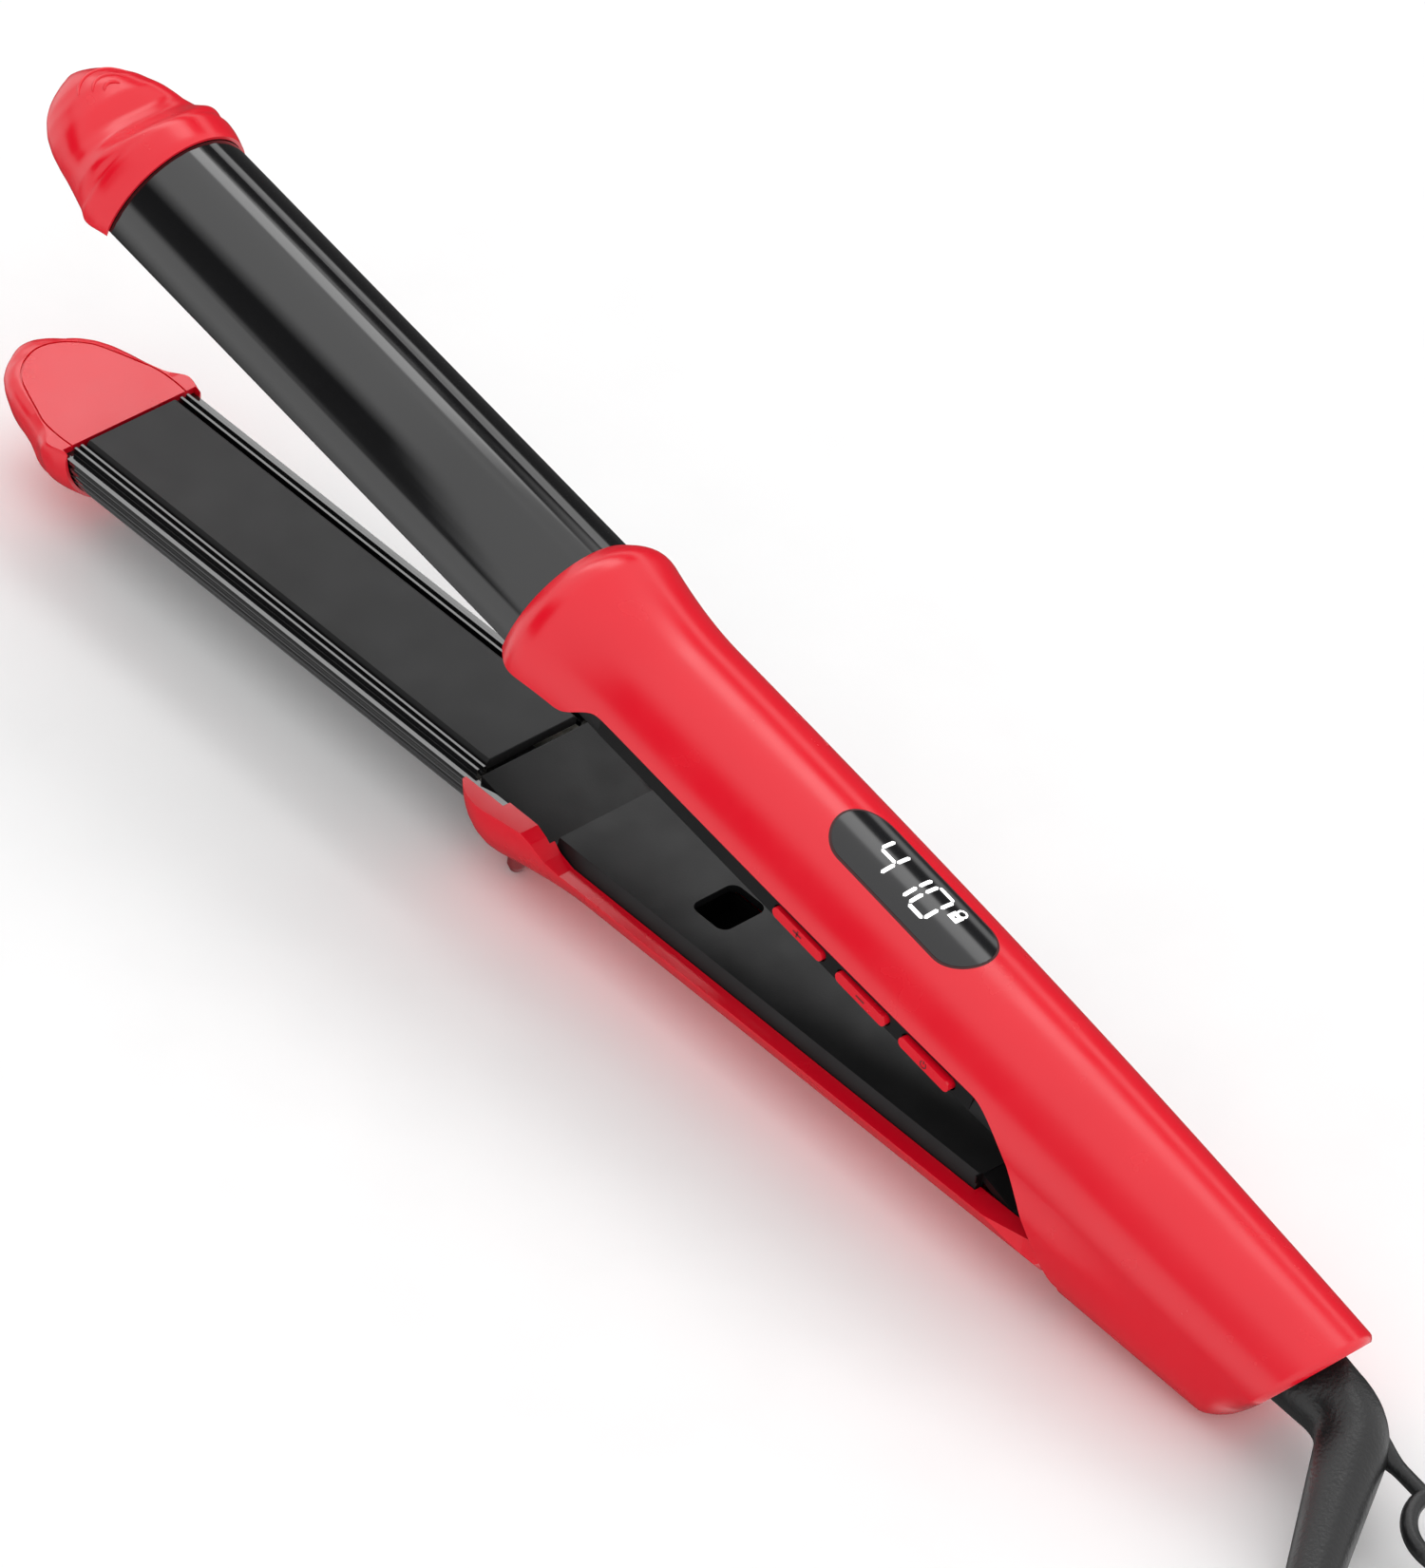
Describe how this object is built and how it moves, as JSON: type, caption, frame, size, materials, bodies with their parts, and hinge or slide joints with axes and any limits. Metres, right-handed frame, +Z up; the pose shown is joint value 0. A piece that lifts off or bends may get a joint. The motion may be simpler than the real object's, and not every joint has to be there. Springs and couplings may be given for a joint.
{
  "type": "hair straightener and curling iron",
  "caption": "Two-arm hair straightener and curling iron with half-round barrels, ceramic plates, cool tips, a temperature display, side keys, a latch and a swivel mains cord.",
  "frame": {"origin": "under the middle of the iron, on the table it lies on, halfway between the tips and the rear of the hinge housing", "axes": "+X from the tips towards the hinge and cord end, +Z up, the keys are on the -Y side"},
  "size_m": [0.6013, 0.0815, 0.0922],
  "materials": {
    "red_plastic": "satin",
    "black_plastic": "satin",
    "barrel_coating": "gloss black coating",
    "ceramic_plate": "matte dark ceramic coating",
    "insulation": "matte",
    "silicone": "matte",
    "heater_foil": "satin",
    "lens": "gloss",
    "display": "matte",
    "circuit_board": "satin",
    "switch_metal": "satin",
    "steel": "satin",
    "dark_red_rubber": "matte",
    "black_rubber": "fine grained matte",
    "tie": "matte",
    "plated_brass": "satin"
  },
  "bodies": {
    "upper_arm": {"upper_handle_shell": "red_plastic", "hinge_cover": "red_plastic", "rear_end_cap": "black_plastic", "upper_inner_cover": "black_plastic", "upper_barrel": "barrel_coating", "upper_tip_cap": "red_plastic", "upper_insulator": "insulation", "upper_buffers": "silicone", "display_lens": "lens", "display_module": "display", "control_board": "circuit_board", "tact_switches": "switch_metal", "upper_screws": "steel", "hinge_bracket": "steel", "hinge_pin": "steel", "hinge_spring": "steel", "swivel_socket": "black_plastic"},
    "upper_plate_carrier": {"upper_plate": "ceramic_plate", "upper_heater": "heater_foil", "thermal_fuse": "heater_foil"},
    "plus_key": {"plus_button": "red_plastic"},
    "minus_key": {"minus_button": "red_plastic"},
    "power_key": {"power_button": "red_plastic"},
    "lock": {"lock_slider": "black_plastic"},
    "lower_arm": {"lower_handle_shell": "red_plastic", "lower_inner_cover": "black_plastic", "lower_barrel": "barrel_coating", "lower_tip_cap": "red_plastic", "lower_insulator": "insulation", "lower_buffers": "silicone", "hinge_knuckle": "steel", "lower_screws": "steel", "rest_feet": "dark_red_rubber"},
    "lower_plate_carrier": {"lower_plate": "ceramic_plate", "lower_heater": "heater_foil"},
    "cord_end": {"swivel_collar": "black_plastic", "cord_boot": "black_rubber", "hang_loop": "black_rubber", "cord_lead": "black_rubber", "cord_hank": "black_rubber", "cord_tie": "tie", "cord_tail": "black_rubber", "plug_body": "black_rubber", "plug_blades": "plated_brass"}
  },
  "joints": [
    {"name": "arm_hinge", "type": "hinge", "parent": "upper_arm", "child": "lower_arm", "pos_m": [0.1453, 0, 0.021], "axis": [0, 1, 0], "range_deg": [0, 10.55], "stiffness_Nm_per_rad": 2, "springref_deg": -22.92},
    {"name": "upper_plate_float", "type": "slide", "parent": "upper_arm", "child": "upper_plate_carrier", "axis": [0.184, 0, 0.9829], "range_m": [0, 0.0008], "stiffness_N_per_m": 3000, "springref_m": -0.0004},
    {"name": "lower_plate_float", "type": "slide", "parent": "lower_arm", "child": "lower_plate_carrier", "axis": [0, 0, -1], "range_m": [0, 0.0008], "stiffness_N_per_m": 3000, "springref_m": -0.0004},
    {"name": "plus_press", "type": "slide", "parent": "upper_arm", "child": "plus_key", "axis": [0, 1, 0], "range_m": [0, 0.0008], "stiffness_N_per_m": 900, "springref_m": -0.0004},
    {"name": "minus_press", "type": "slide", "parent": "upper_arm", "child": "minus_key", "axis": [0, 1, 0], "range_m": [0, 0.0008], "stiffness_N_per_m": 900, "springref_m": -0.0004},
    {"name": "power_press", "type": "slide", "parent": "upper_arm", "child": "power_key", "axis": [0, 1, 0], "range_m": [0, 0.0008], "stiffness_N_per_m": 900, "springref_m": -0.0004},
    {"name": "lock_slide", "type": "slide", "parent": "upper_arm", "child": "lock", "axis": [0.9829, 0, -0.184], "range_m": [0, 0.0026]},
    {"name": "cord_swivel", "type": "hinge", "parent": "upper_arm", "child": "cord_end", "pos_m": [0.1453, 0, 0.021], "axis": [0.9829, 0, -0.184], "continuous": true}
  ]
}
